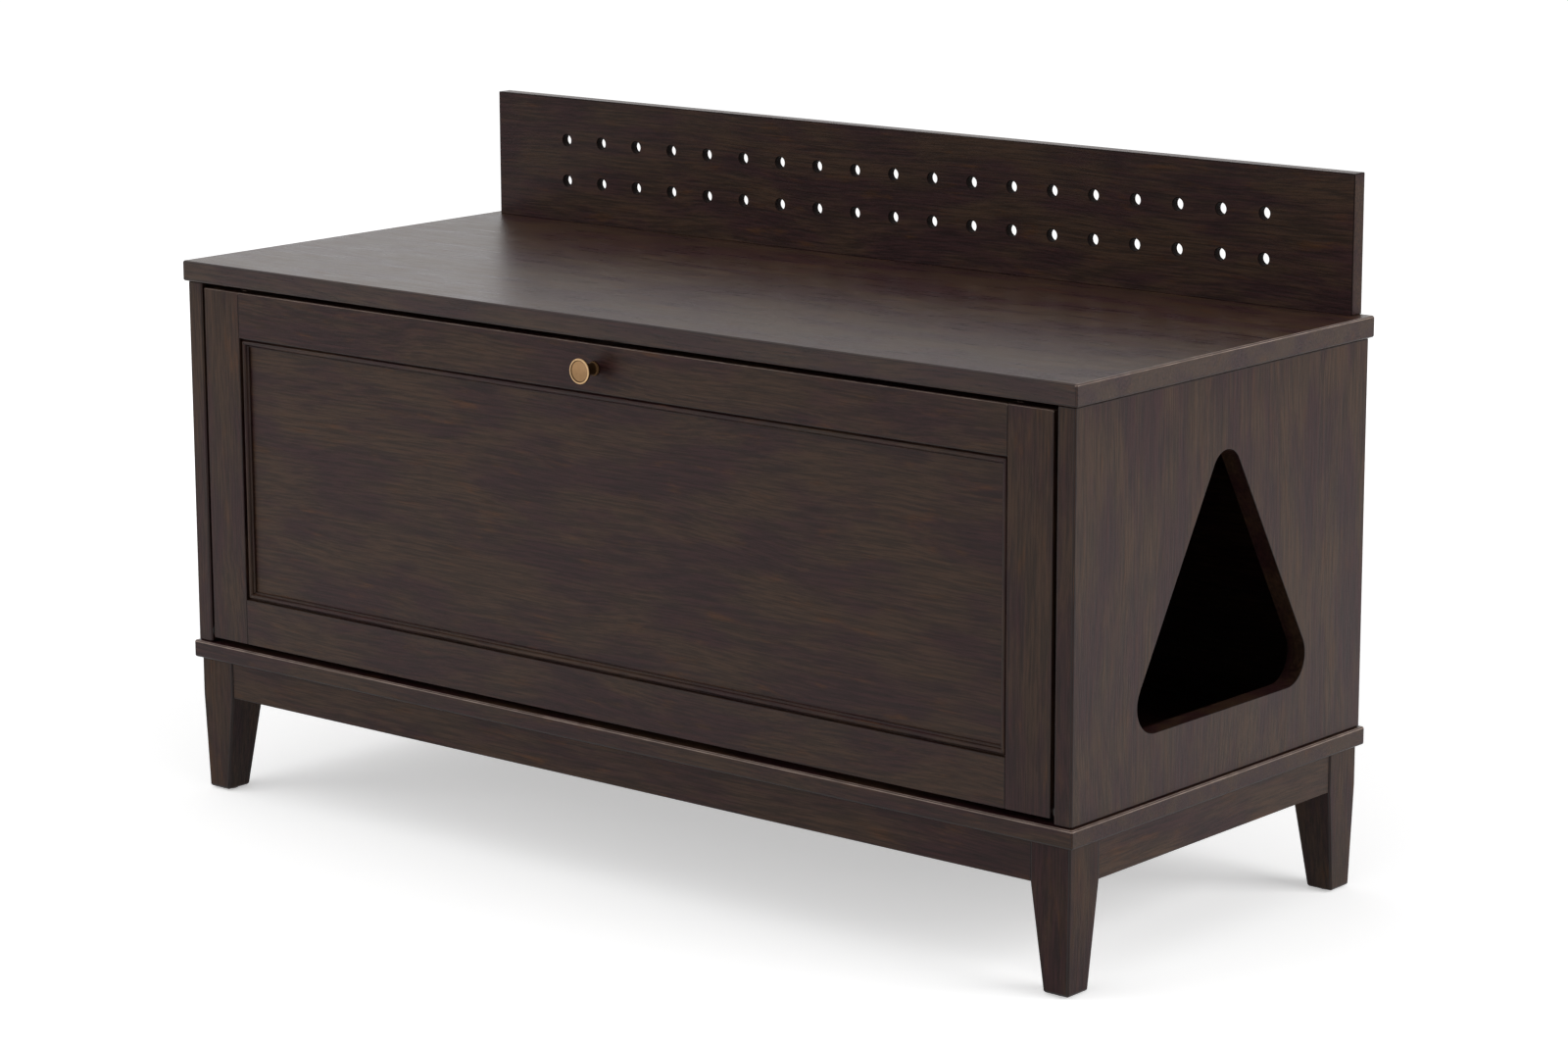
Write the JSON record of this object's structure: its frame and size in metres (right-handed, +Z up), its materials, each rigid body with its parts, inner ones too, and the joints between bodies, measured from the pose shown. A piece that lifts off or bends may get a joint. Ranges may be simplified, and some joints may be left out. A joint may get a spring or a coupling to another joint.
{
  "type": "cat litter box cabinet",
  "caption": "Low bench cabinet on tapered legs that hides a litter box, with a drop-down front door, a triangular cat entry and a perforated gallery.",
  "frame": {"origin": "middle of the outline, knob included, at the floor", "axes": "+X to the right seen from the front, along the longest side; +Y from front to back; +Z up"},
  "size_m": [1.2, 0.5184, 0.733],
  "materials": {
    "dark_wood": "satin stained, fine straight grain",
    "backing_board": "matt stained hardboard",
    "satin_brass": "satin",
    "steel": "brushed",
    "zinc_plated_steel": "zinc plated",
    "magnet": "matt ferrite",
    "dark_nylon": "matt"
  },
  "bodies": {
    "carcass": {"top_panel": "dark_wood", "gallery_board": "dark_wood", "base_panel": "dark_wood", "left_side_panel": "dark_wood", "left_top_cleat": "dark_wood", "right_side_panel": "dark_wood", "right_top_cleat": "dark_wood", "left_front_leg": "dark_wood", "left_rear_leg": "dark_wood", "right_front_leg": "dark_wood", "right_rear_leg": "dark_wood", "left_front_corner_block": "dark_wood", "left_rear_corner_block": "dark_wood", "right_front_corner_block": "dark_wood", "right_rear_corner_block": "dark_wood", "front_apron": "dark_wood", "rear_apron": "dark_wood", "left_apron": "dark_wood", "right_apron": "dark_wood", "back_panel": "backing_board", "left_pivot_bush": "dark_nylon", "right_pivot_bush": "dark_nylon", "catch_body": "dark_nylon", "left_front_glide": "dark_nylon", "left_rear_glide": "dark_nylon", "right_front_glide": "dark_nylon", "right_rear_glide": "dark_nylon", "stay_stud": "steel", "gallery_screw_left": "zinc_plated_steel", "gallery_screw_middle": "zinc_plated_steel", "gallery_screw_right": "zinc_plated_steel", "case_screw_left_front": "zinc_plated_steel", "case_screw_left_rear": "zinc_plated_steel", "case_screw_right_front": "zinc_plated_steel", "case_screw_right_rear": "zinc_plated_steel", "catch_screw_left": "zinc_plated_steel", "catch_screw_right": "zinc_plated_steel", "catch_magnet": "magnet"},
    "door": {"door_left_stile": "dark_wood", "door_right_stile": "dark_wood", "door_top_rail": "dark_wood", "door_bottom_rail": "dark_wood", "door_panel": "dark_wood", "door_bottom_bead": "dark_wood", "door_top_bead": "dark_wood", "door_left_bead": "dark_wood", "door_right_bead": "dark_wood", "knob": "satin_brass", "knob_screw": "zinc_plated_steel", "left_pivot_pin": "steel", "right_pivot_pin": "steel", "strike_plate": "zinc_plated_steel", "strike_screw_left": "zinc_plated_steel", "strike_screw_right": "zinc_plated_steel", "stay_bracket": "steel", "stay_bracket_screw_upper": "zinc_plated_steel", "stay_bracket_screw_lower": "zinc_plated_steel", "stay_rivet": "steel"},
    "stay_arm": {"stay_arm": "steel"}
  },
  "joints": [
    {"name": "door_hinge", "type": "hinge", "parent": "carcass", "child": "door", "pos_m": [0, -0.22825, 0.1815], "axis": [1, 0, 0], "range_deg": [0, 90]},
    {"name": "stay_pivot", "type": "hinge", "parent": "door", "child": "stay_arm", "pos_m": [-0.561, -0.20775, 0.33009], "axis": [1, 0, 0], "range_deg": [-45, 0]}
  ],
  "couplings": [
    {"joint": "stay_pivot", "follows": "door_hinge", "ratio": -0.5}
  ]
}
